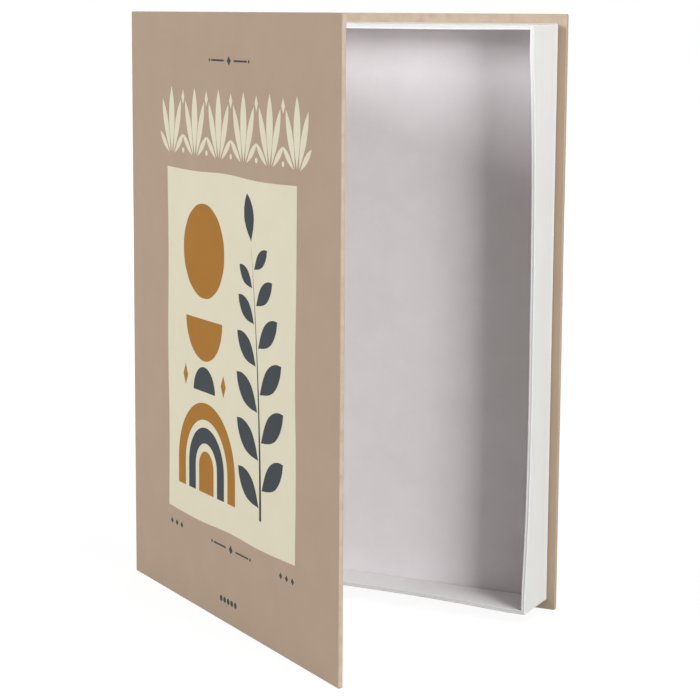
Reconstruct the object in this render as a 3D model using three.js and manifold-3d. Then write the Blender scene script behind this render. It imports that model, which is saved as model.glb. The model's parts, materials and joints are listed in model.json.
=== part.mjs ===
// Book-shaped storage box: a hard cover case with a tray glued inside it.
// Millimetres. The box stands on its tail edges with +Z up. X runs from the spine to the fore-edge and
// the reader is on the -Y side. The front cover stands open at `restOpening`, as it does on a shelf.
import * as THREE from 'three';
import Module from 'manifold-3d';

const wasm = await Module();
wasm.setup();

// Driving dimensions of the case
const bookHeight = 300; // tail edge to head edge of the covers
const coverWidth = 229; // spine's outer face to a cover's fore-edge
const coverBoard = 1.8; // greyboard in the covers and in the spine
const paper = 0.2; // covering, lining and page-edge papers
const glueFilm = 0.1; // dried glue between any two layers
const turnIn = 15; // covering paper folded over onto a board's inner face
const liningInset = 4; // turn-in left showing round a lining
const restOpening = 34.5; // degrees that the front cover stands open at rest

// Driving dimensions of the tray
const trayDepth = 30; // back cover's inner face to the tray's rim
const closingGap = 1.2; // tray's rim to the lining of the closed front cover
const wallBoard = 1.4; // greyboard in the tray's four walls
const floorBoard = 2; // greyboard in the tray's floor
const foreSquare = 4.7; // cover standing out past the tray at the fore-edge
const headSquare = 4.8; // cover standing out past the tray at the head
const tailSquare = 4.8; // cover standing out past the tray at the tail
const stayTape = 0.1; // gummed tape round each corner of the tray
const stayWidth = 12; // reach of the tape along each wall

// How far the drying papers have pulled the tray's rims off their straight lines
const foreEdgeBow = 2.3; // outwards
const headBow = 0.5; // inwards
const tailBow = 2.15; // inwards
const headLean = 0.6; // the fore-edge's corner at the head, towards the spine
const headSag = 0.75; // the same corner, towards the tail
const tailLean = 0.35; // the fore-edge's corner at the tail, away from the spine
const tailSag = 0.3; // the same corner, downwards
const bowPower = 3; // a higher power bends the walls nearer to their corners
const bowSteps = 20; // straight stretches that stand for each curved wall

// Paper hinge between the spine and the front cover
const creaseRelief = 0.25; // crease's middle to where each leaf of paper starts
const boardRelief = 0.5; // crease's middle to where the front board starts
const jointGap = 0.3; // closed front cover's lining to the spine board, and the same at the back

const past = 1; // each cut runs this far clear of the sheet that it cuts

// Sizes that follow
const boardFace = paper + glueFilm;
const turnInFace = boardFace + coverBoard + glueFilm;
const coverThickness = turnInFace + paper;
const linedThickness = coverThickness + glueFilm + paper;
const bookThickness = coverThickness + trayDepth + closingGap + linedThickness;
const hingeAxis = new THREE.Vector2(paper / 2, paper / 2 - bookThickness);

const tapeSpace = stayTape + glueFilm;
const wallFace = paper + tapeSpace;
const wallInner = wallFace + wallBoard;
const wallThickness = wallInner + glueFilm + paper;
const floorTop = glueFilm + floorBoard + glueFilm + paper;
const rimFold = trayDepth - paper;

const tray = {
  x0: linedThickness + glueFilm,
  x1: coverWidth - foreSquare,
  z0: tailSquare,
  z1: bookHeight - headSquare,
};
const trayWidth = tray.x1 - tray.x0;
const trayHeight = tray.z1 - tray.z0;

// Finishes
const coveringPaper = { color: 0xb29a83, roughness: 0.62, metalness: 0 };
const liningPaper = { color: 0xe3dcd8, roughness: 0.8, metalness: 0 };
const pageEdgePaper = { color: 0xe6e6e2, roughness: 0.7, metalness: 0 };
const floorPaper = { color: 0xd9d2d4, roughness: 0.8, metalness: 0 };
const greyboard = { color: 0x9a9288, roughness: 0.95, metalness: 0 };
const gummedTape = { color: 0xc8b490, roughness: 0.8, metalness: 0 };

function piece(parent, name, geometry, finish) {
  const mesh = new THREE.Mesh(geometry, new THREE.MeshStandardMaterial(finish));
  mesh.name = name;
  parent.add(mesh);
}

// A flat sheet or board between two opposite corners
function slab(x0, x1, y0, y1, z0, z1) {
  const geometry = new THREE.BoxGeometry(Math.abs(x1 - x0), Math.abs(y1 - y0), Math.abs(z1 - z0));
  return geometry.translate((x0 + x1) / 2, (y0 + y1) / 2, (z0 + z1) / 2);
}

function toSolid(geometry) {
  const corners = [];
  const seen = new Map();
  const position = geometry.getAttribute('position');
  const index = Array.from(geometry.index.array, (vertex) => {
    const key = [position.getX(vertex), position.getY(vertex), position.getZ(vertex)].join();
    if (!seen.has(key)) {
      seen.set(key, seen.size);
      corners.push(position.getX(vertex), position.getY(vertex), position.getZ(vertex));
    }
    return seen.get(key);
  });
  return new wasm.Manifold(new wasm.Mesh({
    numProp: 3,
    vertProperties: new Float32Array(corners),
    triVerts: new Uint32Array(index),
  }));
}

function toGeometry(solid) {
  const mesh = solid.getMesh();
  const geometry = new THREE.BufferGeometry();
  geometry.setAttribute('position', new THREE.BufferAttribute(new Float32Array(mesh.vertProperties), 3));
  geometry.setIndex(Array.from(mesh.triVerts));
  return geometry;
}

function cutAway(blank, ...cuts) {
  return toGeometry(cuts.reduce((solid, cut) => solid.subtract(toSolid(cut)), toSolid(blank)));
}

// Covering paper of one cover, lying on y = 0 with the board on its +Y side. It covers the outer face,
// folds over the head, tail and fore-edge and is turned in behind the board.
function coverPaper(leafStart, boardStart) {
  return cutAway(
    slab(leafStart, coverWidth, 0, coverThickness, 0, bookHeight),
    slab(leafStart - past, boardStart, paper, coverThickness + past, -past, bookHeight + past),
    slab(leafStart - past, coverWidth - paper, paper, turnInFace, paper, bookHeight - paper),
    slab(leafStart - past, coverWidth - turnIn, paper, coverThickness + past, turnIn, bookHeight - turnIn),
  );
}

function coverBoardSheet(boardStart) {
  const foreEnd = coverWidth - boardFace;
  return slab(boardStart, foreEnd, boardFace, boardFace + coverBoard, boardFace, bookHeight - boardFace);
}

// The corner tapes keep each end of a wall straight, so its bow runs from one tape's end to the other's
function bowShare(distance, length) {
  return THREE.MathUtils.clamp((distance - stayWidth) / (length - 2 * stayWidth), 0, 1);
}

function bowShape(share) {
  return 1 - Math.abs(2 * share - 1) ** bowPower;
}

// Drying pull on the tray: none at the floor and beside the spine, full at the rims
function relax(x, z, depth) {
  const across = bowShare(x - tray.x0, trayWidth);
  const along = bowShare(z - tray.z0, trayHeight);
  const lift = Math.max(0, depth - floorTop) / (trayDepth - floorTop);
  const foreEdge = foreEdgeBow * bowShape(along) + tailLean * (1 - along) - headLean * along;
  const head = -headBow * bowShape(across) - headSag * across;
  const tail = tailBow * bowShape(across) - tailSag * across;
  const pullX = foreEdge * across;
  const pullZ = head * along + tail * (1 - along);
  return new THREE.Vector3(x + pullX * lift, -coverThickness - depth, z + pullZ * lift);
}

// Joins rings of corners, each going counter-clockwise round its outline, into one closed solid with a cap
// on each end. Every four-cornered patch is split from its low, near corner to its high, far one, so that
// the layers of a bent wall stay parallel.
function closedRun(rings, outline) {
  const count = outline.length;
  const corners = rings.flat();
  const rise = (from, to) => {
    const [p, q] = [corners[from], corners[to]];
    return (p.y - q.y) * (q.x + q.z - p.x - p.z);
  };
  const faces = [];
  for (let ring = 0; ring + 1 < rings.length; ring += 1) {
    for (let side = 0; side < count; side += 1) {
      const a = ring * count + side;
      const b = ring * count + (side + 1) % count;
      const c = b + count;
      const d = a + count;
      faces.push(...(rise(a, c) > rise(b, d) ? [a, b, c, a, c, d] : [a, b, d, b, c, d]));
    }
  }
  const cap = THREE.ShapeUtils.triangulateShape(outline.map(([u, v]) => new THREE.Vector2(u, v)), []);
  const last = (rings.length - 1) * count;
  for (const [a, b, c] of cap) {
    faces.push(c, b, a, last + a, last + b, last + c);
  }
  const geometry = new THREE.BufferGeometry();
  const places = corners.flatMap((p) => p.toArray());
  geometry.setAttribute('position', new THREE.Float32BufferAttribute(places, 3));
  geometry.setIndex(volume(corners, faces) < 0 ? faces.reverse() : faces);
  return geometry;
}

function volume(corners, faces) {
  let sum = 0;
  for (let i = 0; i < faces.length; i += 3) {
    const [a, b, c] = [corners[faces[i]], corners[faces[i + 1]], corners[faces[i + 2]]];
    sum += a.dot(b.clone().cross(c));
  }
  return sum / 6;
}

// The four walls: where each starts, which way it runs and which way is inwards, in X and Z
const walls = {
  fore_edge: { start: [tray.x1, tray.z0], along: [0, 1], inward: [-1, 0], length: trayHeight },
  spine_side: { start: [tray.x0, tray.z0], along: [0, 1], inward: [1, 0], length: trayHeight },
  head: { start: [tray.x0, tray.z1], along: [1, 0], inward: [0, -1], length: trayWidth },
  tail: { start: [tray.x0, tray.z0], along: [1, 0], inward: [0, 1], length: trayWidth },
};

function onWall(wall, run, inset, depth) {
  const x = wall.start[0] + wall.along[0] * run + wall.inward[0] * inset;
  const z = wall.start[1] + wall.along[1] * run + wall.inward[1] * inset;
  return relax(x, z, depth);
}

// A layer of a wall: its section holds [inset from the outer face, depth from the back cover] corners,
// and endInset(inset) says how far from the tray's corner each of them ends.
function wallLayer(wall, section, endInset) {
  const step = (wall.length - 2 * stayWidth) / bowSteps;
  const stops = Array.from({ length: bowSteps + 1 }, (_, i) => stayWidth + step * i);
  const ringAt = (run) => section.map(([inset, depth]) => onWall(wall, run(inset), inset, depth));
  const rings = [
    ringAt((inset) => endInset(inset)),
    ...stops.map((stop) => ringAt(() => stop)),
    ringAt((inset) => wall.length - endInset(inset)),
  ];
  return closedRun(rings, section);
}

const wallSection = [
  [wallFace, glueFilm], [wallInner, glueFilm], [wallInner, floorTop],
  [wallInner, rimFold - glueFilm], [wallFace, rimFold - glueFilm], [wallFace, floorTop],
];

// Page-edge paper: up the outside of a wall, over the rim and down the inside to the floor lining
const innerFoot = floorTop + glueFilm;
const pageEdgeSection = [
  [0, glueFilm], [paper, glueFilm], [paper, floorTop], [paper, rimFold],
  [wallThickness - paper, rimFold], [wallThickness - paper, innerFoot],
  [wallThickness, innerFoot], [wallThickness, trayDepth], [0, trayDepth], [0, floorTop],
];

// Gummed tape bent round the outside of a corner where two wall boards meet
function cornerStay(atForeEdge, atHead) {
  const x = atForeEdge ? tray.x1 : tray.x0;
  const z = atHead ? tray.z1 : tray.z0;
  const inX = atForeEdge ? -1 : 1;
  const inZ = atHead ? -1 : 1;
  const outer = paper + glueFilm / 2;
  const inner = outer + stayTape;
  const outline = [
    [outer, outer], [stayWidth, outer], [stayWidth, inner],
    [inner, inner], [inner, stayWidth], [outer, stayWidth],
  ];
  const rings = [glueFilm, floorTop, rimFold - glueFilm].map((depth) => (
    outline.map(([u, v]) => relax(x + inX * u, z + inZ * v, depth))
  ));
  return closedRun(rings, outline);
}

const box = new THREE.Group();

// Back cover: the cover's pieces turned over, with the outer face on y = 0 and the board on its -Y side
function turnedOver(geometry) {
  geometry.scale(1, -1, 1);
  geometry.setIndex(Array.from(geometry.index.array).reverse());
  return geometry;
}

const backBoardStart = boardFace + jointGap;
piece(box, 'back_cover_wrap', turnedOver(coverPaper(paper, backBoardStart)), coveringPaper);
piece(box, 'back_cover_board', turnedOver(coverBoardSheet(backBoardStart)), greyboard);

// Spine, with its board ending short of both covers
const spineRear = -coverThickness - jointGap;
const spineFront = linedThickness + jointGap - bookThickness;
piece(box, 'spine_wrap', cutAway(
  slab(0, coverThickness, hingeAxis.y + creaseRelief, 0, 0, bookHeight),
  slab(paper, coverThickness + past, spineRear, past, -past, bookHeight + past),
  slab(paper, coverThickness + past, -bookThickness, spineFront, -past, bookHeight + past),
  slab(paper, turnInFace, spineFront - past, spineRear + past, paper, bookHeight - paper),
  slab(paper, coverThickness + past, spineFront - past, spineRear + past, turnIn, bookHeight - turnIn),
), coveringPaper);
piece(box, 'spine_board', slab(
  boardFace, boardFace + coverBoard, spineFront, spineRear, boardFace, bookHeight - boardFace,
), greyboard);
piece(box, 'spine_lining', slab(
  linedThickness - paper, linedThickness, spineFront, spineRear, liningInset, bookHeight - liningInset,
), liningPaper);

// Tray: floor, walls, corner tapes and papers
const floorInset = wallInner + glueFilm;
piece(box, 'tray_floor_board', slab(
  tray.x0 + floorInset, tray.x1 - floorInset,
  -coverThickness - glueFilm, -coverThickness - glueFilm - floorBoard,
  tray.z0 + floorInset, tray.z1 - floorInset,
), greyboard);
piece(box, 'tray_floor_lining', slab(
  tray.x0 + floorInset, tray.x1 - floorInset,
  -coverThickness - floorTop + paper, -coverThickness - floorTop,
  tray.z0 + floorInset, tray.z1 - floorInset,
), floorPaper);

for (const [side, wall] of Object.entries(walls)) {
  const isLong = wall.along[1] === 1;
  const boardEnd = isLong ? wallFace : wallInner + glueFilm;
  const board = wallLayer(wall, wallSection, () => boardEnd);
  const wrap = wallLayer(wall, pageEdgeSection, (inset) => inset + glueFilm);
  piece(box, `tray_${side}_wall`, board, greyboard);
  piece(box, `${side}_page_paper`, wrap, pageEdgePaper);
}

for (const atForeEdge of [true, false]) {
  for (const atHead of [true, false]) {
    const place = `${atHead ? 'head' : 'tail'}_${atForeEdge ? 'fore_edge' : 'spine'}`;
    piece(box, `${place}_corner_stay`, cornerStay(atForeEdge, atHead), gummedTape);
  }
}

// Front cover: its group turns about the crease, and its outer face lies half a paper in front of that
const frontCover = new THREE.Group();
frontCover.position.set(hingeAxis.x, hingeAxis.y, 0);
frontCover.rotation.z = -THREE.MathUtils.degToRad(restOpening);
box.add(frontCover);

const toHinge = (geometry) => geometry.translate(-hingeAxis.x, -paper / 2, 0);
const frontBoardStart = hingeAxis.x + boardRelief;
piece(frontCover, 'front_cover_wrap', toHinge(coverPaper(hingeAxis.x + creaseRelief, frontBoardStart)),
  coveringPaper);
piece(frontCover, 'front_cover_board', toHinge(coverBoardSheet(frontBoardStart)), greyboard);
piece(frontCover, 'front_cover_lining', toHinge(slab(
  frontBoardStart, coverWidth - liningInset, linedThickness - paper, linedThickness,
  liningInset, bookHeight - liningInset,
)), liningPaper);

// The origin is the middle of the box's outline, on the surface that it stands on
box.updateMatrixWorld(true);
const outline = new THREE.Box3().setFromObject(box, true);
const middle = outline.getCenter(new THREE.Vector3());
box.position.set(-middle.x, -middle.y, -outline.min.z);

export default box;
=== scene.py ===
# %% [markdown]
# # A box that looks like a book
#
# The real thing is a hard-cover book case with a shallow tray glued inside it. Everything is greyboard
# wrapped in paper, so almost all that shows is paper: tan covering paper over the case, white paper
# printed with page lines round the tray, and a pale sheet on the tray's floor. The boards, the corner
# tapes and the hinge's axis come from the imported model. This lesson models the papers round them.

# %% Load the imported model
import json
import math

import bmesh
import bpy
from mathutils import Matrix, Vector


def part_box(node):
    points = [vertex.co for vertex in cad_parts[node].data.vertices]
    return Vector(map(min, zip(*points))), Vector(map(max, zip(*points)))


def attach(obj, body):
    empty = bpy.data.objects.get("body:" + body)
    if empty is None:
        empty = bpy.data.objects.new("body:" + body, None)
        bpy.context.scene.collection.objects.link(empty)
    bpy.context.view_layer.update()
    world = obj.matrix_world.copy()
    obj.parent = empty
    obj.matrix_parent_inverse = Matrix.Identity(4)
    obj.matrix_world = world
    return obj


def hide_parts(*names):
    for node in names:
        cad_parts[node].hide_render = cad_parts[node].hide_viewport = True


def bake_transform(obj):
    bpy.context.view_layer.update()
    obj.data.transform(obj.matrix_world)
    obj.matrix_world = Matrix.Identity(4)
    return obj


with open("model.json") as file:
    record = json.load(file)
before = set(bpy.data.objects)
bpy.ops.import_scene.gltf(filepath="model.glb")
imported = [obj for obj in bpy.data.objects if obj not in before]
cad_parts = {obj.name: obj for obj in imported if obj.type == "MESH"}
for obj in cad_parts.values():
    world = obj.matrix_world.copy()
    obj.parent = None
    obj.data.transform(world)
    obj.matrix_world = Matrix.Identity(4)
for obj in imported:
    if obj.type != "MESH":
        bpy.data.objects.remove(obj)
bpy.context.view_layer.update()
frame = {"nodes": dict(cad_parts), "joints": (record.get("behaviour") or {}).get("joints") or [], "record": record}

MM = 0.001

# %% [markdown]
# ## Where things are
#
# A bookbinder measures from the spine and from the fold of the front joint. Both are read from the
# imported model, so that a change there moves the papers too. The front cover stands open, so it gets a
# frame of its own: X along the cover from the fold, Y through its thickness towards the inside, Z up.

# %% Read the places
back_low, back_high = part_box("back_cover_wrap")
spine_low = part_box("spine_wrap")[0]
hinge = frame["joints"][0]
fold_x, fold_y = hinge["pos_m"][:2]
opening = -math.radians(hinge["range_deg"][0])
cover_place = Matrix.Translation((fold_x, fold_y, 0)) @ Matrix.Rotation(-opening, 4, "Z")

half_paper = fold_x - spine_low.x
paper = 2 * half_paper
cover_thickness = back_high.y - back_low.y
book_height = back_high.z
fore_end = back_high.x - fold_x
print("cover:", round(fore_end / MM, 1), "by", round(book_height / MM, 1), "mm, open", hinge["range_deg"][0])

floor_low, floor_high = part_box("tray_floor_lining")
tray_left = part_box("spine_side_page_paper")[0].x
tray_right = floor_high.x + floor_low.x - tray_left
tray_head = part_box("head_page_paper")[1].z
tray_tail = floor_high.z + floor_low.z - tray_head
print("tray:", round((tray_right - tray_left) / MM, 1), "by", round((tray_head - tray_tail) / MM, 1), "mm")


def box_in(place, node):
    """A node's lowest and highest corners, seen from a frame of its own."""
    inverse = place.inverted()
    points = [inverse @ v.co for v in frame["nodes"][node].data.vertices]
    low = Vector(min(p[i] for p in points) for i in range(3))
    high = Vector(max(p[i] for p in points) for i in range(3))
    return low, high


# %% [markdown]
# ## The camera
#
# The photograph was taken from the reader's right, from the height of the box's head, and looks a
# little down. The camera's place, turn and lens were fitted to the corners of the two covers and of the
# tray, on an image of 700 by 700 pixels. The picture's middle lies a little off the lens's axis, so the
# lens is shifted.

# %% Set the camera up
IMAGE = 700
SENSOR = 36
focal_pixels = 2104.2
axis_pixel = Vector((347.9, 324.6))
camera_yaw = math.radians(26.643)
camera_pitch = math.radians(-8.439)
camera_roll = math.radians(0.356)
camera_position = Vector((0.48476, -0.89386, 0.30008))

camera_data = bpy.data.cameras.new("camera")
camera_data.sensor_width = SENSOR
camera_data.lens = focal_pixels * SENSOR / IMAGE
camera_data.shift_x = (IMAGE / 2 - axis_pixel.x) / IMAGE
camera_data.shift_y = (axis_pixel.y - IMAGE / 2) / IMAGE
camera_data.clip_start = 0.01
camera = bpy.data.objects.new("camera", camera_data)
camera_turn = (
    Matrix.Rotation(camera_yaw, 4, "Z")
    @ Matrix.Rotation(math.pi / 2 + camera_pitch, 4, "X")
    @ Matrix.Rotation(camera_roll, 4, "Z")
)
camera.matrix_world = Matrix.Translation(camera_position) @ camera_turn
bpy.context.scene.collection.objects.link(camera)
bpy.context.scene.camera = camera
print("lens:", round(camera_data.lens, 2), "mm")

# %% [markdown]
# ## Small helpers for meshes
#
# Each piece is shaped in a bmesh and then handed over to an object that sits at the origin. Rounded
# edges are only smooth next to flat faces if the large faces set the normals, which is what the
# Weighted Normal modifier does. Some operators return vertices in an order that changes from run to
# run, so they are sorted by place before those that coincide are merged. Two tolerances pick edges and
# faces further on: SQUARE is the least share of a direction that has to lie along an axis, and NEAR is
# how far off a place may be.

# %% Helpers for meshes
SHARP = math.radians(38)
SQUARE = 0.99
NEAR = 0.1 * MM


def to_object(name, bm, place=Matrix.Identity(4), weighted=True):
    """An object at the origin that holds the bmesh, moved to its place in the mesh itself."""
    for index, vert in enumerate(sorted(bm.verts, key=lambda vert: vert.co[:])):
        vert.index = index
    bm.verts.sort()
    bmesh.ops.remove_doubles(bm, verts=bm.verts, dist=0.002 * MM)
    bmesh.ops.transform(bm, matrix=place, verts=bm.verts)
    for face in bm.faces:
        face.smooth = True
    for edge in bm.edges:
        edge.smooth = edge.is_manifold and edge.calc_face_angle() < SHARP
    open_edges = sum(not edge.is_manifold for edge in bm.edges)
    mesh = bpy.data.meshes.new(name)
    bm.to_mesh(mesh)
    print(f"{name}: {len(mesh.polygons)} faces, {open_edges} open edges")
    bm.free()
    piece = bpy.data.objects.new(name, mesh)
    bpy.context.scene.collection.objects.link(piece)
    if weighted:
        normals = piece.modifiers.new("large faces first", "WEIGHTED_NORMAL")
        normals.keep_sharp = True
    return piece


def only(kind, parts):
    """The vertices, edges or faces among the parts that an operator returns."""
    return [part for part in parts if isinstance(part, kind)]


def once(parts):
    """Each part once, in the order given. A set's order would change from run to run."""
    return list(dict.fromkeys(parts))


def prism(outline, top):
    """A closed block on the floor, up to the height top, over an outline of X and Y."""
    bm = bmesh.new()
    base = bm.faces.new([bm.verts.new((x, y, 0)) for x, y in outline])
    lifted = bmesh.ops.extrude_face_region(bm, geom=[base], use_keep_orig=True)["geom"]
    bmesh.ops.translate(bm, verts=only(bmesh.types.BMVert, lifted), vec=(0, 0, top))
    bmesh.ops.recalc_face_normals(bm, faces=bm.faces)
    return bm


def middle(edge):
    return (edge.verts[0].co + edge.verts[1].co) / 2


def direction(edge):
    return (edge.verts[1].co - edge.verts[0].co).normalized()


def round_edges(bm, edges, radius, segments=4):
    bmesh.ops.bevel(
        bm, geom=edges, offset=radius, segments=segments, profile=0.5,
        affect="EDGES", material=-1, clamp_overlap=True,
    )


def cut(bm, point, normal, keep=lambda face: True):
    """Cuts the faces that pass keep along a plane and leaves both sides in place."""
    faces = [face for face in bm.faces if keep(face)]
    edges = [edge for face in faces for edge in face.edges]
    verts = [vert for face in faces for vert in face.verts]
    parts = once(faces + edges + verts)
    bmesh.ops.bisect_plane(bm, geom=parts, plane_co=point, plane_no=normal, dist=0.0001 * MM)


# %% [markdown]
# ## Covering paper: folds, turn-ins and mitres
#
# A cover is made by gluing the board onto the paper and folding the paper's edges over it. So the fold
# is soft, the paper ends about 15 mm in on the inner face, and at each fore-edge corner two turn-ins
# meet in a mitre at 45 degrees. The steps below copy that: round the block's edges, cut the inner face
# open where the paper ends, press the mitres in, and give the skin that is left its thickness. The
# skin depth is a little more than the paper, and finds the points that lie on a cover's inner face.

# %% Helpers for the covering paper
turn_in = 15 * MM
fold_radius = 0.55 * MM
corner_radius = 0.8 * MM
mitre_width = 0.24 * MM
mitre_depth = 0.16 * MM
skin_depth = 0.3 * MM


def upright_at(edge, x, y):
    """Whether an edge runs up the box at a place in its plan."""
    centre = middle(edge)
    return abs(direction(edge).z) > SQUARE and abs(centre.x - x) < NEAR and abs(centre.y - y) < NEAR


def fold_over(bm, fore_x, keep_sharp):
    """Rounds the two fore-edge corners of a cover and then its other edges, apart from the sharp ones."""
    ends = (0, book_height)
    corners = [
        edge for edge in bm.edges
        if abs(direction(edge).y) > SQUARE
        and abs(middle(edge).x - fore_x) < NEAR
        and min(abs(middle(edge).z - end) for end in ends) < NEAR
    ]
    round_edges(bm, corners, corner_radius)
    bm.normal_update()
    outer = [
        edge for edge in bm.edges
        if edge.calc_face_angle_signed() > math.radians(60) and not keep_sharp(edge)
    ]
    round_edges(bm, outer, fold_radius)
    bm.normal_update()


def press_mitres(bm, fore_x, inner_y, inwards):
    """Presses in the line where two turn-ins meet, from each fore-edge corner to where the paper ends."""
    for end_z, slope in ((0, 1), (book_height, -1)):
        across = Vector((1, 0, slope)).normalized()
        corner = Vector((fore_x, inner_y, end_z))

        def on_corner(face):
            centre = face.calc_center_median()
            return (
                fore_x - centre.x < turn_in
                and abs(centre.z - end_z) < turn_in
                and (centre.y - inner_y) * inwards > -0.4 * cover_thickness
            )

        for offset in (-mitre_width, 0, mitre_width):
            cut(bm, corner + across * offset, across, on_corner)
        for vert in bm.verts:
            away = vert.co - corner
            on_line = abs(away.dot(across)) < 0.001 * MM and abs(away.x) < turn_in + 0.01 * MM
            if on_line and away.y * inwards > -skin_depth:
                vert.co.y -= inwards * mitre_depth
    bm.normal_update()


def give_thickness(bm, thickness):
    bm.normal_update()
    bmesh.ops.solidify(bm, geom=bm.faces[:], thickness=thickness)


def note(piece, name, value_at, place=Matrix.Identity(4)):
    """Notes a value from 0 to 1 on each vertex, worked out from its place, for the finish to use."""
    inverse = place.inverted()
    noted = piece.data.attributes.new(name, "FLOAT", "POINT")
    for index, vert in enumerate(piece.data.vertices):
        noted.data[index].value = min(1.0, max(0.0, value_at(inverse @ vert.co)))


# %% [markdown]
# ## The covering paper of the back cover and spine
#
# On the real box one sheet runs from the back cover over the spine to the front cover. The back cover
# and spine never move against each other, so their part is one L-shaped block, bent round the corner.
# The spine's outer edge at the joint stays sharp, because the joint's paper carries on there. Where
# the inner face gets a painted highlight above the tray and a painted shade along the tray's foot is
# noted on its vertices, so it is cut where either begins and ends.

# %% Wrap the back cover and spine
board_overhang = 0.15 * MM
spine_turn_in = 3 * MM
# Painted shade along the tray's foot: how far it reaches, where it is cut and how it falls off. Then the painted
# highlight above the tray: how far it reaches and how strong it is.
shade_reach = 3 * MM
shade_steps = (0, 0.15 * MM, 0.9 * MM, shade_reach)
shade_falloff = 0.4
highlight_reach = 4 * MM
highlight_strength = 0.78
spine_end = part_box("spine_board")[0].y - board_overhang
inner_back = back_high.y - cover_thickness
inner_spine = spine_low.x + cover_thickness
case_outline = [
    (spine_low.x, back_high.y),
    (spine_low.x, spine_end),
    (inner_spine, spine_end),
    (inner_spine, inner_back),
    (back_high.x, inner_back),
    (back_high.x, back_high.y),
]


def faces_reader(face):
    return face.normal.y < -SQUARE


def under_tray_or_lining(face):
    """Whether a face lies where the paper has ended, under the tray or the spine's lining."""
    centre = face.calc_center_median()
    under_tray = faces_reader(face) and inner_spine < centre.x < back_high.x - turn_in
    in_spine = face.normal.x > SQUARE and spine_end + spine_turn_in < centre.y < inner_back
    return turn_in < centre.z < book_height - turn_in and (under_tray or in_spine)


bm = prism(case_outline, book_height)
fold_over(bm, back_high.x, lambda edge: upright_at(edge, spine_low.x, spine_end))
for height in (turn_in, book_height - turn_in):
    cut(bm, (0, 0, height), (0, 0, 1))
cut(bm, (back_high.x - turn_in, 0, 0), (1, 0, 0))
cut(bm, (0, spine_end + spine_turn_in, 0), (0, 1, 0), lambda face: face.normal.x > SQUARE)
# These cuts mark where the painted shade along the tray's foot and the painted highlight above the tray begin and
# end.
for reach in shade_steps:
    cut(bm, (tray_right + reach, 0, 0), (1, 0, 0), faces_reader)
    cut(bm, (0, 0, tray_tail - reach), (0, 0, 1), faces_reader)
for height in (tray_head - highlight_reach, tray_head):
    cut(bm, (0, 0, height), (0, 0, 1), faces_reader)
bmesh.ops.delete(bm, geom=[face for face in bm.faces if under_tray_or_lining(face)], context="FACES")
press_mitres(bm, back_high.x, inner_back, -1)
give_thickness(bm, paper)
case_paper = to_object("case_covering_paper", bm)


def on_inner_face(point):
    return abs(point.y - inner_back) < skin_depth


def painted_highlight(point):
    """How much painted highlight lightens the inner face: all of it above the tray, less a little further down."""
    return on_inner_face(point) * min(1, max(0, 1 + (point.z - tray_head) / highlight_reach))


def painted_contact_shade(point):
    """How much painted shade darkens the inner face: less with the distance from the tray's fore-edge or tail."""
    gap = max(0, point.x - tray_right, tray_tail - point.z)
    return on_inner_face(point) * (1 - painted_highlight(point)) * (1 - (gap / shade_reach) ** shade_falloff)


# The inner face is painted lighter above the tray, a painted highlight, and darker along the tray's foot, a
# painted shade.
note(case_paper, "wear_and_highlight", lambda point: highlight_strength * painted_highlight(point))
note(case_paper, "painted_contact_shade", painted_contact_shade)
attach(case_paper, "case_and_tray")
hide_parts("back_cover_wrap", "spine_wrap")

# %% [markdown]
# ## The covering paper of the front cover
#
# The same steps, in the cover's own frame: the outer face looks away from the tray, and the inner face
# lies on the side where Y grows. The block starts just past the fold, so that the cover can swing
# until it lies back in line with the tray. Where hands rub its narrow edges is noted on its vertices.

# %% Wrap the front cover
cover_start = 0.36 * MM
rub_reach = 0.5 * fold_radius
outer_front = -half_paper
inner_front = cover_thickness - half_paper
front_outline = [
    (cover_start, outer_front),
    (fore_end, outer_front),
    (fore_end, inner_front),
    (cover_start, inner_front),
]
bm = prism(front_outline, book_height)
fold_over(bm, fore_end, lambda edge: upright_at(edge, cover_start, outer_front))
for height in (turn_in, book_height - turn_in):
    cut(bm, (0, 0, height), (0, 0, 1))
for distance in (fore_end - turn_in, turn_in):
    cut(bm, (distance, 0, 0), (1, 0, 0))
under_lining = [
    face for face in bm.faces
    if face.normal.y > SQUARE
    and turn_in < face.calc_center_median().z < book_height - turn_in
    and turn_in < face.calc_center_median().x < fore_end - turn_in
]
bmesh.ops.delete(bm, geom=under_lining, context="FACES")
press_mitres(bm, fore_end, inner_front, 1)
give_thickness(bm, paper)
front_paper = to_object("front_covering_paper", bm, cover_place)


def wear_and_highlight(point):
    """How much hands rub the cover: its narrow fore-edge, head and tail, but neither faces nor folds."""
    return 1 - min(fore_end - point.x, point.z, book_height - point.z) / rub_reach


note(front_paper, "wear_and_highlight", wear_and_highlight, cover_place)
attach(front_paper, "front_cover")
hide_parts("front_cover_wrap")

# %% [markdown]
# ## The paper hinge
#
# Between the spine and the front cover there is nothing but the bare covering paper, folded along the
# joint. It is drawn here as a short chain of edges through the fold, swept up the box and given its
# thickness to both sides.

# %% Fold the joint's paper
fold_softness = 0.16 * MM
joint_inset = 0.3 * MM
longest_edge = 0.15 * MM
leg_cuts = 9

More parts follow.
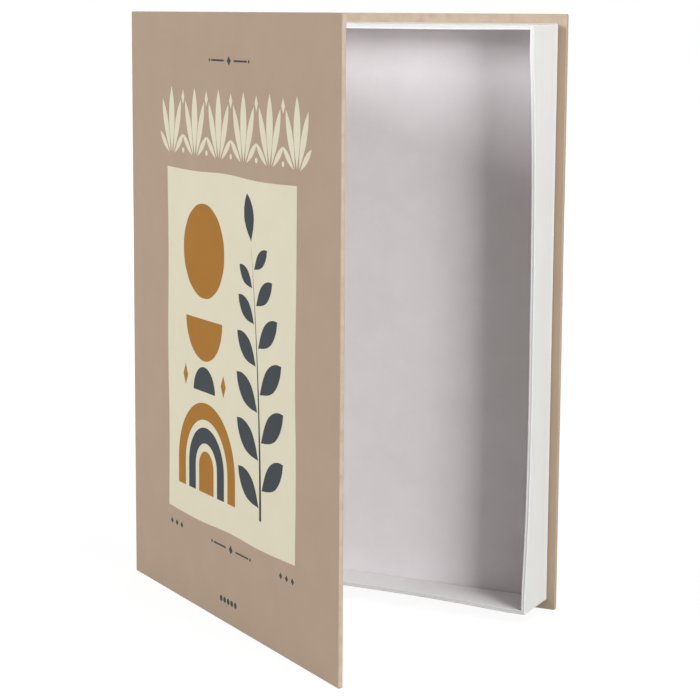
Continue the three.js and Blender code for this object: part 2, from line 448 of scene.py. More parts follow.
bm = bmesh.new()
at_spine = bm.verts.new((fold_x, spine_end, joint_inset))
at_fold = bm.verts.new((fold_x, fold_y, joint_inset))
at_cover = bm.verts.new(cover_place @ Vector((cover_start, 0, joint_inset)))
bm.edges.new((at_spine, at_fold))
bm.edges.new((at_fold, at_cover))
bmesh.ops.bevel(
    bm, geom=[at_fold], offset=fold_softness, segments=6, profile=0.5, affect="VERTICES", material=-1,
)
bmesh.ops.subdivide_edges(bm, edges=[e for e in bm.edges if e.calc_length() > longest_edge], cuts=leg_cuts)
swept = bmesh.ops.extrude_edge_only(bm, edges=bm.edges[:])["geom"]
rise = (0, 0, book_height - 2 * joint_inset)
bmesh.ops.translate(bm, verts=only(bmesh.types.BMVert, swept), vec=rise)
bmesh.ops.recalc_face_normals(bm, faces=bm.faces)
bm.normal_update()
for vert in bm.verts:
    vert.co += vert.normal * half_paper
give_thickness(bm, paper)
joint_paper = to_object("joint_paper", bm, weighted=False)
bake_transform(joint_paper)

# %% [markdown]
# ## Flat sheets: the linings and the tray's floor
#
# A glued sheet is never quite flat. Damp glue makes it swell, and it dries with shallow waves that only
# a low light shows. The sheet starts as a grid, the waves are two long sines that fade out at the
# edges, where the sheet is held down. The tray's sheet also notes what is near its edge, for a line of
# painted shade there, in the crease at the walls' foot.

# %% Lay the linings
sheet_step = 6 * MM
wave_height = 0.09 * MM
first_wave = (31 * MM, 57 * MM)
second_wave = (71 * MM, 43 * MM)
held_down = 12 * MM


def lay_sheet(name, node, body, facing, place=Matrix.Identity(4)):
    """A sheet in a node's place. Facing is the turn about Z that points its front the right way."""
    low, high = box_in(place, node)
    size = high - low
    thickness = min(size)
    turn = Matrix.Rotation(facing, 4, "Z") @ Matrix.Rotation(math.pi / 2, 4, "X")
    front = turn @ Vector((0, 0, 1))
    width = size.x + size.y - thickness
    height = size.z
    centre = (low + high) / 2 + front * thickness / 2
    bm = bmesh.new()
    bmesh.ops.create_grid(
        bm, x_segments=max(2, round(width / sheet_step)), y_segments=round(height / sheet_step),
        size=0.5, matrix=Matrix.Diagonal((width, height, 1, 1)),
    )
    for vert in bm.verts:
        x, y = vert.co.x, vert.co.y
        to_edge = min(width / 2 - abs(x), height / 2 - abs(y))
        hold = min(1, max(0, to_edge / held_down)) ** 2
        across, along = x / first_wave[0] + y / first_wave[1], y / second_wave[1] - x / second_wave[0]
        wave = math.sin(across) * math.cos(along)
        vert.co.z += wave_height * hold * (0.5 + 0.5 * wave)
    give_thickness(bm, thickness)
    sheet = to_object(name, bm, place @ Matrix.Translation(centre) @ turn, weighted=False)
    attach(sheet, body)
    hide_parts(node)
    return sheet


floor_sheet = lay_sheet("tray_floor_sheet", "tray_floor_lining", "case_and_tray", 0)


def near_floor_edge(point):
    """1 on the floor sheet's edge, 0 from one step of its grid inwards."""
    to_end = min(point.z - floor_low.z, floor_high.z - point.z)
    to_side = min(point.x - floor_low.x, floor_high.x - point.x)
    return 1 - min(to_end, to_side) / sheet_step


# Painted shade: this value darkens the sheet along its edge, in the crease at the walls' foot.
note(floor_sheet, "near_edge", near_floor_edge)
spine_sheet = lay_sheet("spine_lining_sheet", "spine_lining", "case_and_tray", math.pi / 2)
front_sheet = lay_sheet(
    "front_lining_sheet", "front_cover_lining", "front_cover", math.pi, cover_place,
)

# %% [markdown]
# ## The page-edge paper round the tray
#
# One strip of paper, printed with fine lines like the edges of a thousand pages, goes round the four
# walls: it starts under the tray's foot, climbs the outside, folds over the rim and runs down the
# inside. Its section is a short list of steps, each an inset from the tray's outer face and a height
# above the back cover. Each step is drawn as one turn round the tray with rounded corners, and the
# turns are bridged. At the two folds of the rim the paper stands a little proud of the board, and at the
# foot it flares outwards before it tucks under. A step just before each fold of the rim keeps the long
# faces flat, because smooth shading would otherwise carry the fold's light far across them.

# %% Measure the tray's walls
wall = floor_low.x - tray_left + paper
rim_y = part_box("fore_edge_page_paper")[0].y
glue_film = 0.1 * MM
foot_y = inner_back - glue_film
print("tray wall:", round(wall / MM, 2), "mm thick, rim", round((inner_back - rim_y) / MM, 1), "mm up")

# %% Draw the strip's section
outer_fold = [(0, 1.7), (0, 0.95), (0.06, 0.60), (0.28, 0.16), (0.42, 0.03), (0.66, 0.03)]
inner_fold = [(0, 1.4), (0, 0.50), (0.04, 0.20), (0.16, 0.03), (0.40, 0), (0.68, 0.09)]
foot_fold = [(0.90, 0), (0.30, 0.02), (-0.05, 0.12), (-0.20, 0.34), (-0.13, 0.80), (0, 1.60)]
rim_dip = 0.16 * MM
wall_steps = 3

page_section = [(inset * MM, foot_y - up * MM) for inset, up in foot_fold]
climb = [floor_low.y + (rim_y - floor_low.y) * step / wall_steps for step in range(wall_steps)]
page_section += [(0, y) for y in climb]
page_section += [(inset * MM, rim_y + down * MM) for inset, down in outer_fold]
page_section += [(wall / 2, rim_y + rim_dip)]
page_section += [(wall - inset * MM, rim_y + down * MM) for inset, down in reversed(inner_fold)]
page_section += [(wall, y) for y in reversed(climb[1:])]
page_section += [(wall, floor_low.y - glue_film)]
print("section steps:", len(page_section))

# %% [markdown]
# The drying papers pull on the walls. At the floor and beside the spine they stay straight, but the rims
# have moved: the middle of the fore-edge outwards, those of the head and the tail inwards. The two
# fore-edge corners lean and sag too. Tapes keep the walls straight next to the corners, so the bows only
# start where the tapes end. The same pull bends the boards inside.

# %% Turn the section round the tray
tray_corner = 0.8 * MM
tightest_fold = 0.15 * MM
rim_corner = 2.0 * MM
corner_steps = 6
side_steps = 26
shortest_side = 20 * MM
tape_reach = 12 * MM
fore_bow = 2.3 * MM
head_bow = 0.5 * MM
tail_bow = 2.15 * MM
head_lean, head_sag = 0.6 * MM, 0.75 * MM
tail_lean, tail_sag = 0.35 * MM, 0.3 * MM
tray_centre = Vector(((tray_left + tray_right) / 2, 0, (tray_tail + tray_head) / 2))


def bow_share(distance, length):
    return min(1, max(0, (distance - tape_reach) / (length - 2 * tape_reach)))


def bow_shape(share):
    return 1 - abs(2 * share - 1) ** 3


def pull(point):
    """Moves a point of the tray as the drying papers do."""
    across = bow_share(point.x - tray_left, tray_right - tray_left)
    along = bow_share(point.z - tray_tail, tray_head - tray_tail)
    lift = max(0, floor_low.y - point.y) / (floor_low.y - rim_y)
    fore_edge = fore_bow * bow_shape(along) + tail_lean * (1 - along) - head_lean * along
    head = -head_bow * bow_shape(across) - head_sag * across
    tail = tail_bow * bow_shape(across) - tail_sag * across
    point.x += lift * across * fore_edge
    point.z += lift * (head * along + tail * (1 - along))


def corner_at(inset, y):
    """The corners are tight over the boards and rounder on the rim, where the folded paper is pinched."""
    on_rim = y < rim_y + NEAR and inset < 0.6 * wall
    return rim_corner if on_rim else max(tray_corner - inset, tightest_fold)


def turn_round_tray(bm, inset, y):
    """One closed turn round the tray, with its corners rounded and its sides in short steps."""
    width = tray_right - tray_left - 2 * inset
    height = tray_head - tray_tail - 2 * inset
    centre = Vector((tray_centre.x, y, tray_centre.z))
    upright = Matrix.Rotation(math.pi / 2, 4, "X")
    placed = Matrix.Translation(centre) @ upright @ Matrix.Diagonal((width, height, 1, 1))
    made = bmesh.ops.create_grid(bm, x_segments=1, y_segments=1, size=0.5, matrix=placed)
    bmesh.ops.bevel(
        bm, geom=made["verts"], offset=corner_at(inset, y), segments=corner_steps,
        profile=0.5, affect="VERTICES", material=-1,
    )
    face = next(f for f in bm.faces if len(f.verts) == 4 * (corner_steps + 1))
    edges = list(face.edges)
    bmesh.ops.delete(bm, geom=[face], context="FACES_ONLY")
    sides = [edge for edge in edges if edge.calc_length() > shortest_side]
    cuts = bmesh.ops.subdivide_edges(bm, edges=sides, cuts=side_steps - 1)["geom_split"]
    return once([edge for edge in edges if edge.is_valid] + only(bmesh.types.BMEdge, cuts))


bm = bmesh.new()
before = turn_round_tray(bm, *page_section[0])
for inset, y in page_section[1:]:
    after = turn_round_tray(bm, inset, y)
    bmesh.ops.bridge_loops(bm, edges=before + after)
    before = after
for vert in bm.verts:
    pull(vert.co)
bmesh.ops.recalc_face_normals(bm, faces=bm.faces)
bm.normal_update()
outermost = max(bm.faces, key=lambda face: face.calc_center_median().x)
if outermost.normal.x < 0:
    bmesh.ops.reverse_faces(bm, faces=bm.faces)
give_thickness(bm, paper)
page_paper = to_object("page_edge_paper", bm)

# %% [markdown]
# The print is only on the outside of the strip. So each vertex notes which way the paper looks there: 0
# is away from the tray's middle, a half is over the rim, and 1 is towards the middle.

# %% Note how far the strip has folded inwards
folded_in = page_paper.data.attributes.new("folded_in", "FLOAT", "POINT")
for index, vert in enumerate(page_paper.data.vertices):
    across = vert.normal.x * math.copysign(1, tray_centre.x - vert.co.x)
    along = vert.normal.z * math.copysign(1, tray_centre.z - vert.co.z)
    inwards = across if abs(across) > abs(along) else along
    folded_in.data[index].value = 0.5 + 0.5 * inwards
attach(page_paper, "case_and_tray")
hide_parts(*(f"{side}_page_paper" for side in ("fore_edge", "spine_side", "head", "tail")))

# %% [markdown]
# ## The print on the front cover
#
# Ink lies on the paper as a film a few hundredths of a millimetre thick. Each colour is one piece: flat
# curves, filled and given that thickness, then made a mesh and laid on the cover. The design is a
# plain one: a frieze of petals over a cream panel, with a sun, a bowl, nested arches and a leafy sprig.
# Its points are in millimetres on the cover, from the joint and from the tail.

# %% Helpers for the print
film = 0.03 * MM
sink = 0.02 * MM
print_place = cover_place @ Matrix.Translation((0, outer_front, 0)) @ Matrix.Rotation(math.pi / 2, 4, "X")


def outline(points, soft=True):
    """A closed outline. Soft outlines run smoothly through their points, others have straight sides."""
    return [(x, y, soft) for x, y in points]


def petal(x, y, length, width, lean):
    """A petal with a pointed foot and tip. Lean is its turn from upright in degrees, clockwise."""
    turn = math.radians(lean)
    shape = [(0, 0, False), (0.42, 0.34, True), (0.5, 0.55, True), (0.30, 0.84, True), (0, 1, False)]
    shape += [(-across, up, soft) for across, up, soft in reversed(shape[1:-1])]
    return [
        (
            x + across * width * math.cos(turn) + up * length * math.sin(turn),
            y - across * width * math.sin(turn) + up * length * math.cos(turn),
            soft,
        )
        for across, up, soft in shape
    ]


def disc(x, y, radius, steps=8):
    turns = [2 * math.pi * step / steps for step in range(steps)]
    return outline([(x + radius * math.cos(t), y + radius * math.sin(t)) for t in turns])


def lozenge(x, y, width, height):
    tips = [(x - width / 2, y), (x, y - height / 2), (x + width / 2, y), (x, y + height / 2)]
    return outline(tips, soft=False)


def arch(x, foot, spring, outer, inner, steps=36):
    """An arch on two legs. It springs from the height spring, and its legs end at the height foot."""
    turns = [math.pi * step / steps for step in range(steps + 1)]
    over = [(x + outer * math.cos(t), spring + outer * math.sin(t)) for t in turns]
    under = [(x + inner * math.cos(t), spring + inner * math.sin(t)) for t in reversed(turns)]
    legs = [(x - outer, foot), (x - inner, foot)]
    other_legs = [(x + inner, foot), (x + outer, foot)]
    return outline(over + legs + under + other_legs, soft=False)


def dome(x, spring, radius, foot=None, steps=36):
    """A half disc, which a negative radius turns into a bowl. With a foot it stands on a straight part."""
    turns = [math.pi * step / steps for step in range(steps + 1)]
    over = [(x + radius * math.cos(t), spring + radius * math.sin(t)) for t in turns]
    straight = [] if foot is None else [(x - radius, foot), (x + radius, foot)]
    return outline(over + straight, soft=False)


def print_film(name, layer, outlines):
    """One colour of the print, as a closed film that rides on the front cover."""
    curve = bpy.data.curves.new(name, "CURVE")
    curve.dimensions = "2D"
    curve.fill_mode = "BOTH"
    curve.resolution_u = 10
    curve.extrude = (film * layer + sink) / 2
    for points in outlines:
        spline = curve.splines.new("BEZIER")
        spline.use_cyclic_u = True
        spline.bezier_points.add(len(points) - 1)
        for knot, (x, y, soft) in zip(spline.bezier_points, points):
            knot.co = (x * MM, y * MM, 0)
            knot.handle_left_type = "AUTO" if soft else "VECTOR"
            knot.handle_right_type = knot.handle_left_type
    drawn = bpy.data.objects.new(name, curve)
    bpy.context.scene.collection.objects.link(drawn)
    evaluated = drawn.evaluated_get(bpy.context.evaluated_depsgraph_get())
    bm = bmesh.new()
    bm.from_mesh(bpy.data.meshes.new_from_object(evaluated))
    bpy.data.objects.remove(drawn)
    bmesh.ops.remove_doubles(bm, verts=bm.verts, dist=0.001 * MM)
    bmesh.ops.recalc_face_normals(bm, faces=bm.faces)
    lifted = Matrix.Translation((0, 0, (film * layer - sink) / 2))
    printed = to_object(name, bm, print_place @ lifted, weighted=False)
    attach(printed, "front_cover")
    return printed


# %% [markdown]
# First the cream: the petal frieze across the top, and the panel, whose sides are cut a little
# unevenly as if with scissors.

# %% Print the cream
frieze_foot = 229
frieze_pitch = 27.4
frieze_start = 50.5
frieze_units = 6
cream_shapes = []
for unit in range(frieze_units):
    x = frieze_start + unit * frieze_pitch
    cream_shapes.append(petal(x, frieze_foot + 1, 33, 6.6, 0))
    for side in (-1, 1):
        cream_shapes.append(petal(x + side * 1.9, frieze_foot + 1, 28, 5.2, side * 19))
        cream_shapes.append(petal(x + side * 3.2, frieze_foot + 0.6, 15, 3.4, side * 47))
for gap in range(frieze_units - 1):
    x = frieze_start + (gap + 0.5) * frieze_pitch
    cream_shapes.append(lozenge(x, frieze_foot + 29, 3.6, 7.5))
    cream_shapes.append(disc(x, frieze_foot + 2.6, 1.3))
cream_frieze = print_film("cream_frieze", 1, cream_shapes)

panel = [
    (44.5, 46.5, False), (80, 45.6, True), (118, 46.6, True), (152, 45.8, True), (186.5, 46.8, False),
    (187.1, 92, True), (186.2, 136, True), (187.2, 181, True), (187.6, 222.6, False),
    (150, 221.8, True), (112, 222.9, True), (78, 222.0, True), (44.8, 222.4, False),
    (45.5, 178, True), (44.4, 133, True), (45.3, 90, True),
]
cream_panel = print_film("cream_panel", 1, [panel])

# %% [markdown]
# The ochre and the dark slate are printed over the cream, so their films reach a step higher.

# %% Print the ochre
arch_middle, arch_foot, arch_spring = 90, 61, 74
sun_middle = 88
bowl_rim = 149
ochre_shapes = [
    disc(sun_middle, 183, 23.5, 12),
    dome(sun_middle, bowl_rim, -21),
    arch(arch_middle, arch_foot, arch_spring, 33, 24.5),
    dome(arch_middle, arch_spring, 8.5, arch_foot),
    lozenge(66, 118.5, 5.5, 11),
    lozenge(110, 118.5, 5.5, 11),
]
ochre_print = print_film("ochre_print", 2, ochre_shapes)

# %% [markdown]
# The sprig's stem bends to the left as it rises and ends in a point. Its leaves stand off the stem a
# little, as shapes cut from paper and laid down one by one do.

# %% Print the dark slate
stem_foot, stem_tip = 60, 191
stem_half = 1.1
leaf_gap = 0.5
leaf_lean = 53
leaf_slenderness = 0.42
leaf_feet_and_lengths = ((66, 28), (89, 29), (112, 28), (134, 25), (154, 21), (171, 17))


def stem_middle(y):
    return 150.5 - 9.5 * ((y - stem_foot) / (stem_tip - stem_foot)) ** 2


stem_heights = [stem_foot + (stem_tip - stem_foot) * step / 6 for step in range(7)]
stem = []
for step, y in enumerate(stem_heights):
    stem.append((stem_middle(y) + stem_half * (1 - step / 6), y, 0 < step < 6))
stem += [(2 * stem_middle(y) - x, y, soft) for x, y, soft in reversed(stem[:-1])]
slate_shapes = [stem, petal(stem_middle(stem_tip), stem_tip + 2, 23, 10, -11)]
for height, length in leaf_feet_and_lengths:
    for side, raised in ((-1, 0), (1, 9)):
        foot = height + raised
        beside = stem_middle(foot) + side * (stem_half + leaf_gap)
        slate_shapes.append(petal(beside, foot, length, length * leaf_slenderness, side * leaf_lean))
slate_shapes.append(arch(arch_middle, arch_foot, arch_spring, 20.5, 12.5))
slate_shapes.append(dome(sun_middle, 112.5, 12.5))
slate_print = print_film("slate_print", 2, slate_shapes)

# %% [markdown]
# Small dark ornaments stand above the frieze and below the panel: short bars, lozenges and dots.

# %% Print the small ornaments


def bar(x, y, width, height):
    return outline(
        [(x - width / 2, y - height / 2), (x + width / 2, y - height / 2),
         (x + width / 2, y + height / 2), (x - width / 2, y + height / 2)], soft=False,
    )


ornaments = []
bar_offset, dot_offset = 12.5, 21.5
for centre, y in ((117, 277), (118, 38.5)):
    ornaments += [bar(centre + side * bar_offset, y, 14, 0.9) for side in (-1, 1)]
    ornaments += [lozenge(centre, y, 4.4, 4.4)]
    ornaments += [disc(centre + side * dot_offset, y, 0.8) for side in (-1, 1)]
for centre in (54, 178):
    ornaments += [lozenge(centre + step, 38.5, 3.2, 3.2) for step in (-6, 0, 6)]
ornaments += [disc(115 + step, 11.5, 1.5) for step in (-8, -4, 0, 4, 8)]
small_ornaments = print_film("small_ornaments", 1, ornaments)

# %% [markdown]
# ## Finishes
#
# Paper is matt, but never even. It has a cloudy tone from its pulp and a fine grain that catches a low
# light. One shader group gives every paper here both, each with strengths of its own. A second group
# turns paper lighter where hands rub it and where a painted highlight is wanted, and a third scatters
# the specks of cheap paper and board.

# %% Helpers for node trees


def add(tree, kind, inputs=None, **settings):
    """A new node with its settings, whose inputs are linked to sockets or set to values."""
    made = tree.nodes.new(kind)
    for name, value in settings.items():
        setattr(made, name, value)
    for key, value in (inputs or {}).items():
        if isinstance(value, bpy.types.NodeSocket):
            tree.links.new(value, made.inputs[key])
        else:
            made.inputs[key].default_value = value
    return made


def ramp(tree, value, low=0.0, high=1.0, to_low=0.0, to_high=1.0, **settings):
    """A value that runs from to_low to to_high while the given one runs from low to high."""
    ends = {"Value": value, "From Min": low, "From Max": high, "To Min": to_low, "To Max": to_high}
    return add(tree, "ShaderNodeMapRange", ends, **settings).outputs["Result"]


def calculate(tree, operation, *values):
    """The result of one Math node on its two or three values."""
    return add(tree, "ShaderNodeMath", dict(enumerate(values)), operation=operation).outputs[0]


def noted_value(tree, name):
    """What was noted on the vertices under a name."""
    return add(tree, "ShaderNodeAttribute", attribute_name=name).outputs["Fac"]


def colour(red, green, blue):
    """A colour read off in 0 to 255, as the linear values that shaders use."""
    linear = [((c / 255 + 0.055) / 1.055) ** 2.4 if c > 10 else c / 255 / 12.92 for c in (red, green, blue)]
    return (*linear, 1)


def new_group(name, inputs, outputs):
    """An empty shader group with named sockets. Inputs and outputs are (name, kind, value)."""
    group = bpy.data.node_groups.new(name, "ShaderNodeTree")
    for socket, kind, value in inputs:
        made = group.interface.new_socket(socket, in_out="INPUT", socket_type=kind)
        if value is not None:
            made.default_value = value
    for socket, kind in outputs:
        group.interface.new_socket(socket, in_out="OUTPUT", socket_type=kind)
    print("shader group:", name)
    return group, group.nodes.new("NodeGroupInput").outputs, group.nodes.new("NodeGroupOutput").inputs


# %% Build the paper tone group
cloud_share, grain_share = 0.72, 0.28
tone_group, given, wanted = new_group(
    "paper tone",
    [
        ("Vector", "NodeSocketVector", None),
        ("Cloud", "NodeSocketFloat", 45.0),
        ("Grain", "NodeSocketFloat", 2600.0),
    ],
    [("Tone", "NodeSocketFloat"), ("Height", "NodeSocketFloat")],
)
cloud = add(
    tone_group, "ShaderNodeTexNoise",
    {"Vector": given["Vector"], "Scale": given["Cloud"], "Detail": 4.0, "Roughness": 0.55},
)
grain = add(
    tone_group, "ShaderNodeTexNoise",
    {"Vector": given["Vector"], "Scale": given["Grain"], "Detail": 2.0, "Roughness": 0.6},
)
clouded = calculate(tone_group, "MULTIPLY", cloud.outputs["Fac"], cloud_share)
toned = calculate(tone_group, "MULTIPLY_ADD", grain.outputs["Fac"], grain_share, clouded)
tone_group.links.new(ramp(tone_group, toned, 0.3, 0.7), wanted["Tone"])
tone_group.links.new(grain.outputs["Fac"], wanted["Height"])

# %% Build the group for rubbed edges and painted highlights
wear_and_highlight_group, given, wanted = new_group(
    "rubbed edges and painted highlight",
    [
        ("Vector", "NodeSocketVector", None),
        ("Wear and highlight", "NodeSocketFloat", 0.0),
        ("Amount", "NodeSocketFloat", 0.5),
    ],
    [("Mask", "NodeSocketFloat")],
)
patches = add(wear_and_highlight_group, "ShaderNodeTexNoise", {"Vector": given["Vector"], "Scale": 160.0, "Detail": 5.0})
worn_and_highlit = calculate(wear_and_highlight_group, "MULTIPLY", given["Wear and highlight"], patches.outputs["Fac"])
masked = calculate(wear_and_highlight_group, "MULTIPLY", ramp(wear_and_highlight_group, worn_and_highlit, 0.18, 0.62), given["Amount"])
wear_and_highlight_group.links.new(masked, wanted["Mask"])

# %% Build the specks group
speck_group, given, wanted = new_group(
    "specks",
    [
        ("Vector", "NodeSocketVector", None),
        ("Scale", "NodeSocketFloat", 70.0),
        ("Size", "NodeSocketFloat", 0.07),
    ],
    [("Mask", "NodeSocketFloat")],
)
cells = add(speck_group, "ShaderNodeTexVoronoi", {"Vector": given["Vector"], "Scale": given["Scale"]})
size_of_each = ramp(speck_group, cells.outputs["Color"], 0.55, 1.0, to_high=given["Size"])
in_speck = calculate(speck_group, "LESS_THAN", cells.outputs["Distance"], size_of_each)
speck_group.links.new(in_speck, wanted["Mask"])

# %% [markdown]
# Each paper is then one Principled shader. Its tone runs between two near colours, its roughness is
# plain, and the grain goes into a weak bump.

# %% Helper for a paper


def blend_colours(tree, factor, first, second):
    return add(tree, "ShaderNodeMix", {0: factor, 6: first, 7: second}, data_type="RGBA").outputs[2]


def new_paper(name, light, dark, roughness=0.65, specular=0.3, grain=2600.0, cloud=45.0, bump=0.06):
    """A material for a paper, and the places where a finish of its own can be added to it."""
    material = bpy.data.materials.new(name)
    material.use_nodes = True
    tree = material.node_tree
    shader = tree.nodes["Principled BSDF"]
    shader.inputs["Roughness"].default_value = roughness
    shader.inputs["Specular IOR Level"].default_value = specular
    place = add(tree, "ShaderNodeTexCoord").outputs["Object"]
    tone = add(
        tree, "ShaderNodeGroup", {"Vector": place, "Cloud": cloud, "Grain": grain}, node_tree=tone_group,
    )
    base = blend_colours(tree, tone.outputs["Tone"], colour(*dark), colour(*light))
    relief = add(
        tree, "ShaderNodeBump", {"Height": tone.outputs["Height"], "Strength": 1.0, "Distance": bump * MM},
    )
    tree.links.new(relief.outputs["Normal"], shader.inputs["Normal"])
    tree.links.new(base, shader.inputs["Base Color"])
    print("finish:", name, "between", dark, "and", light)
    return material, tree, shader, place, base


# %% [markdown]
# The covering paper is printed tan. The front cover's narrow edges, where hands open the box, are
# rubbed lighter in patches. Above the tray the tan is painted lighter, a painted highlight, and along
# the tray's foot it is painted darker, a painted shade. The values that were noted on each vertex tell
# the shader where.

# %% Finish the covering paper
covering, tree, shader, place, base = new_paper(
    "covering_paper", (174, 153, 132), (169, 148, 127), bump=0.02,
)
# The back cover's inner face gets its painted highlight above the tray through this same rubbed mask.
wear_and_highlight_inputs = {"Vector": place, "Wear and highlight": noted_value(tree, "wear_and_highlight"), "Amount": 0.46}
mask = add(tree, "ShaderNodeGroup", wear_and_highlight_inputs, node_tree=wear_and_highlight_group)
worn_and_highlit_base = blend_colours(tree, mask.outputs["Mask"], base, colour(206, 192, 178))
# Painted shade: the tan is darkened next to the tray's fore-edge and tail, where the tray shades it.
painted_shade = ramp(tree, noted_value(tree, "painted_contact_shade"), to_high=0.5)
painted_shade_base = blend_colours(tree, painted_shade, worn_and_highlit_base, colour(118, 98, 80))
tree.links.new(painted_shade_base, shader.inputs["Base Color"])

# %% [markdown]
# The page-edge paper is white, with fine printed lines that follow the tray's depth, which is Y here.
# Noise that is stretched along the strip gives the lines their uneven strength, like pages that don't
# quite line up. They end at the rim. There and inside, the strip is plain, and painted a little lighter
# and lavender: painted light, with a painted reflection of the floor's sheet.

# %% Finish the page-edge paper
page_edge, tree, shader, place, base = new_paper(
    "page_edge_paper", (218, 218, 216), (214, 214, 211), bump=0.01,
)
stretch = {"Vector": place, "Scale": (14.0, 1900.0, 14.0)}
stretched = add(tree, "ShaderNodeMapping", stretch).outputs["Vector"]
leaves = add(tree, "ShaderNodeTexNoise", {"Vector": stretched, "Scale": 1.0, "Detail": 3.0})
lines = ramp(tree, leaves.outputs["Fac"], 0.45, 0.75)
inwards = noted_value(tree, "folded_in")
printed = calculate(tree, "MULTIPLY", lines, ramp(tree, inwards, 0.3, 0.0))
lined_base = blend_colours(tree, printed, base, colour(210, 210, 206))
# Painted light and a painted reflection: the rim and the inside are painted lighter and lavender.
two_sided = blend_colours(tree, ramp(tree, inwards, 0.15, 0.5), lined_base, colour(229, 228, 229))
tree.links.new(two_sided, shader.inputs["Base Color"])

# %% [markdown]
# The sheet in the tray is cheap white paper with a lavender cast. Its tone wanders between bluish and
# pinkish, a few dark specks of pulp lie in it, and a thin line of painted shade lies along its edge.

# %% Finish the tray floor's paper
tray_floor, tree, shader, place, base = new_paper(
    "tray_floor_paper", (228, 225, 229), (220, 217, 221), grain=1400.0, cloud=60.0, bump=0.03,
)
hue = add(tree, "ShaderNodeTexNoise", {"Vector": place, "Scale": 9.0, "Detail": 2.0})
pinkish = blend_colours(tree, 0.35, base, colour(228, 220, 222))
wandering = blend_colours(tree, hue.outputs["Fac"], base, pinkish)
specks = add(tree, "ShaderNodeGroup", {"Vector": place, "Scale": 60.0, "Size": 0.03}, node_tree=speck_group)
specked = blend_colours(tree, specks.outputs["Mask"], wandering, colour(150, 140, 140))
# Painted shade: a darker line along the sheet's edge, in the crease where the walls shade it.
painted_shade = ramp(tree, noted_value(tree, "near_edge"), 0.80, 0.92, to_high=0.12)
edged = blend_colours(tree, painted_shade, specked, colour(150, 140, 142))
tree.links.new(edged, shader.inputs["Base Color"])

# %% [markdown]
# The other papers need no more than the helper gives them. The inks are papers too, because a thin matt
# ink shows the grain of what it is printed on.

# %% Finish the lining and the inks
lining = new_paper("lining_paper", (226, 220, 210), (220, 213, 202), bump=0.02)[0]
cream_ink = new_paper("cream_ink", (223, 217, 193), (219, 213, 188), bump=0.02)[0]
ochre_ink = new_paper("ochre_ink", (163, 113, 42), (157, 107, 36), specular=0.2, bump=0.02)[0]
slate_ink = new_paper("slate_ink", (54, 61, 66), (48, 55, 60), specular=0.2, bump=0.02)[0]

# %% [markdown]
# Greyboard is pressed from waste paper, so dark flecks lie in its grey. Gummed tape is brown kraft
# paper with long fibres. Both only show where the paper round them ends.

# %% Finish the greyboard and the tape
greyboard, tree, shader, place, base = new_paper(
    "greyboard", (158, 151, 141), (140, 133, 124), roughness=0.85, specular=0.2, cloud=300.0, bump=0.05,
)
flecks = add(tree, "ShaderNodeGroup", {"Vector": place, "Scale": 900.0, "Size": 0.3}, node_tree=speck_group)
flecked = blend_colours(tree, flecks.outputs["Mask"], base, colour(104, 98, 92))
tree.links.new(flecked, shader.inputs["Base Color"])

tape, tree, shader, place, base = new_paper("gummed_tape", (196, 163, 116), (176, 143, 98), specular=0.4)
long_way = add(tree, "ShaderNodeMapping", {"Vector": place, "Scale": (900.0, 60.0, 900.0)})
fibres = add(tree, "ShaderNodeTexNoise", {"Vector": long_way.outputs["Vector"], "Scale": 1.0, "Detail": 3.0})
fibrous = blend_colours(tree, fibres.outputs["Fac"], base, colour(160, 126, 84))
tree.links.new(fibrous, shader.inputs["Base Color"])

# %% [markdown]
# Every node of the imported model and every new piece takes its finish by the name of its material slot.

# %% Give each piece its finish
finishes = {
    "covering_paper": covering,
    "lining_paper": lining,
    "page_edge_paper": page_edge,
    "tray_floor_paper": tray_floor,
    "greyboard": greyboard,
    "gummed_tape": tape,
    "cream_ink": cream_ink,
    "ochre_ink": ochre_ink,
    "slate_ink": slate_ink,
}


def dress(piece, slot):
    piece.data.materials.clear()
    piece.data.materials.append(finishes[slot])


for subpart in frame["record"]["subparts"]:
    dress(frame["nodes"][subpart["node"]], subpart["material_slot"])
new_pieces = {
    "covering_paper": (case_paper, front_paper, joint_paper),
    "lining_paper": (spine_sheet, front_sheet),
    "tray_floor_paper": (floor_sheet,),
    "page_edge_paper": (page_paper,),
    "cream_ink": (cream_frieze, cream_panel),
    "ochre_ink": (ochre_print,),
    "slate_ink": (slate_print, small_ornaments),
}
for slot, pieces in new_pieces.items():
    for piece in pieces:
        dress(piece, slot)
print("finishes:", len(finishes), "new pieces:", sum(len(pieces) for pieces in new_pieces.values()))

# %% [markdown]
# ## Light and floor
#
# The photograph was lit in a white studio. A low softbox at the reader's right rakes across the tray and
# lights its fore-edge, one at the left lights the front cover, and a wide one high up lights the head
# edges. One behind lights the back, which the photograph doesn't show. White walls fill the rest. A
# softbox's level is how bright a white sheet looks that faces it.

# %% Hang the softboxes
lit_point = Vector((0, 0, 0.15))


def softbox(name, azimuth, elevation, distance, width, height, level):
    """A softbox. Azimuth 0 is at the reader's side of the box, and it grows to the reader's right."""
    turn, tilt = math.radians(azimuth), math.radians(elevation)
    away = Vector((math.sin(turn) * math.cos(tilt), -math.cos(turn) * math.cos(tilt), math.sin(tilt)))
    lamp = bpy.data.lights.new(name, "AREA")
    lamp.shape = "RECTANGLE"
    lamp.size = width
    lamp.size_y = height
    lamp.energy = level * math.pi ** 2 * distance ** 2
    facing = away.to_track_quat("Z", "Y").to_matrix().to_4x4()
    hung = bpy.data.objects.new(name, lamp)
    hung.matrix_world = Matrix.Translation(lit_point + away * distance) @ facing
    bpy.context.scene.collection.objects.link(hung)
    print(name, "hangs", distance, "m away")


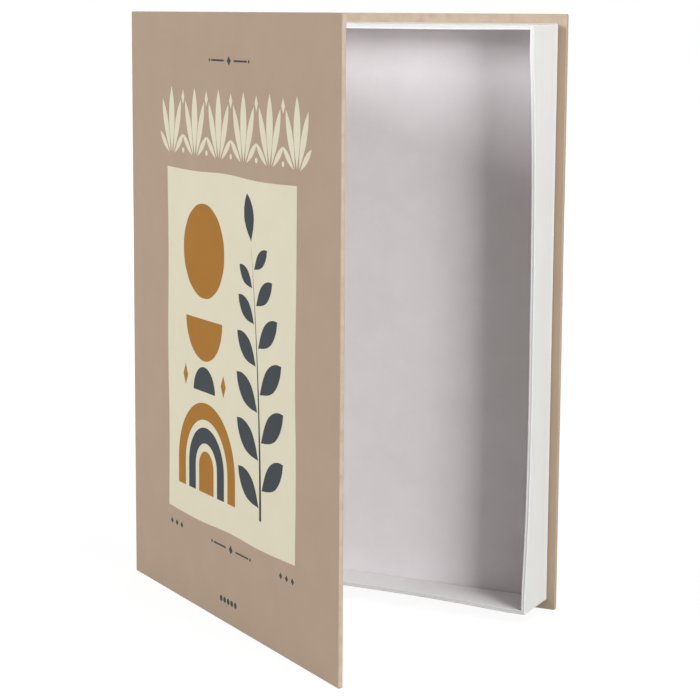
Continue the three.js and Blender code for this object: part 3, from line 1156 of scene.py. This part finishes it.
softbox("right_softbox", 62, 8, 3.0, 0.9, 0.8, 0.80)
softbox("left_softbox", -45, 21, 4.0, 0.8, 1.6, 0.74)
softbox("high_softbox", 75, 65, 3.6, 1.2, 1.2, 0.40)
softbox("back_softbox", 202, 12, 2.4, 0.65, 0.65, 0.55)

# %% [markdown]
# The world is white to the camera and in reflections. Where it lights the box it is weaker and a little
# purple, as the photograph's shade is.

# %% Paint the world
FILL = 0.13
FILL_TINT = (1.0, 0.96, 0.985, 1)
WHITE = (1, 1, 1, 1)
world = bpy.data.worlds.new("studio")
world.use_nodes = True
tree = world.node_tree
rays = add(tree, "ShaderNodeLightPath").outputs


def seen(tree, rays):
    """1 for rays that show the white studio: from the camera, off gloss or through glass."""
    straight = calculate(tree, "MAXIMUM", rays["Is Camera Ray"], rays["Is Glossy Ray"])
    return calculate(tree, "MAXIMUM", straight, rays["Is Transmission Ray"])


shown = seen(tree, rays)
background = tree.nodes["Background"]
tree.links.new(blend_colours(tree, shown, FILL_TINT, WHITE), background.inputs["Color"])
tree.links.new(ramp(tree, shown, to_low=FILL), background.inputs["Strength"])
bpy.context.scene.world = world
print("fill light:", FILL, "of white")

# %% [markdown]
# The floor sends light back up to the box as pale card does. To the camera it glows by the amount that
# its own light leaves short of white, so it darkens a little in the box's shadow, and further out it
# glows fully.

# %% Lay the floor
FLOOR_REACH = 6.0
FLOOR_BOUNCE = 0.44
FLOOR_SHADE = 0.1
FLOOR_GLOW = 0.93
bm = bmesh.new()
bmesh.ops.create_circle(bm, cap_ends=True, segments=96, radius=FLOOR_REACH)
floor = to_object("floor", bm, weighted=False)

floor_paint = bpy.data.materials.new("floor")
floor_paint.use_nodes = True
tree = floor_paint.node_tree
tree.nodes.clear()
rays = add(tree, "ShaderNodeLightPath").outputs
place = add(tree, "ShaderNodeTexCoord").outputs["Object"]
distance = add(tree, "ShaderNodeVectorMath", {0: place}, operation="LENGTH").outputs["Value"]
glow = ramp(tree, distance, 0.5, 1.6, to_low=FLOOR_GLOW, interpolation_type="SMOOTHSTEP")
shown = seen(tree, rays)
reflected = ramp(tree, shown, to_low=FLOOR_BOUNCE, to_high=FLOOR_SHADE)
lit = add(tree, "ShaderNodeBsdfDiffuse", {"Color": reflected})
glowing = add(tree, "ShaderNodeEmission", {"Strength": calculate(tree, "MULTIPLY", glow, shown)})
both = add(tree, "ShaderNodeAddShader", {0: lit.outputs[0], 1: glowing.outputs[0]})
add(tree, "ShaderNodeOutputMaterial", {"Surface": both.outputs[0]})
floor.data.materials.append(floor_paint)
bpy.context.scene.view_settings.view_transform = "Standard"
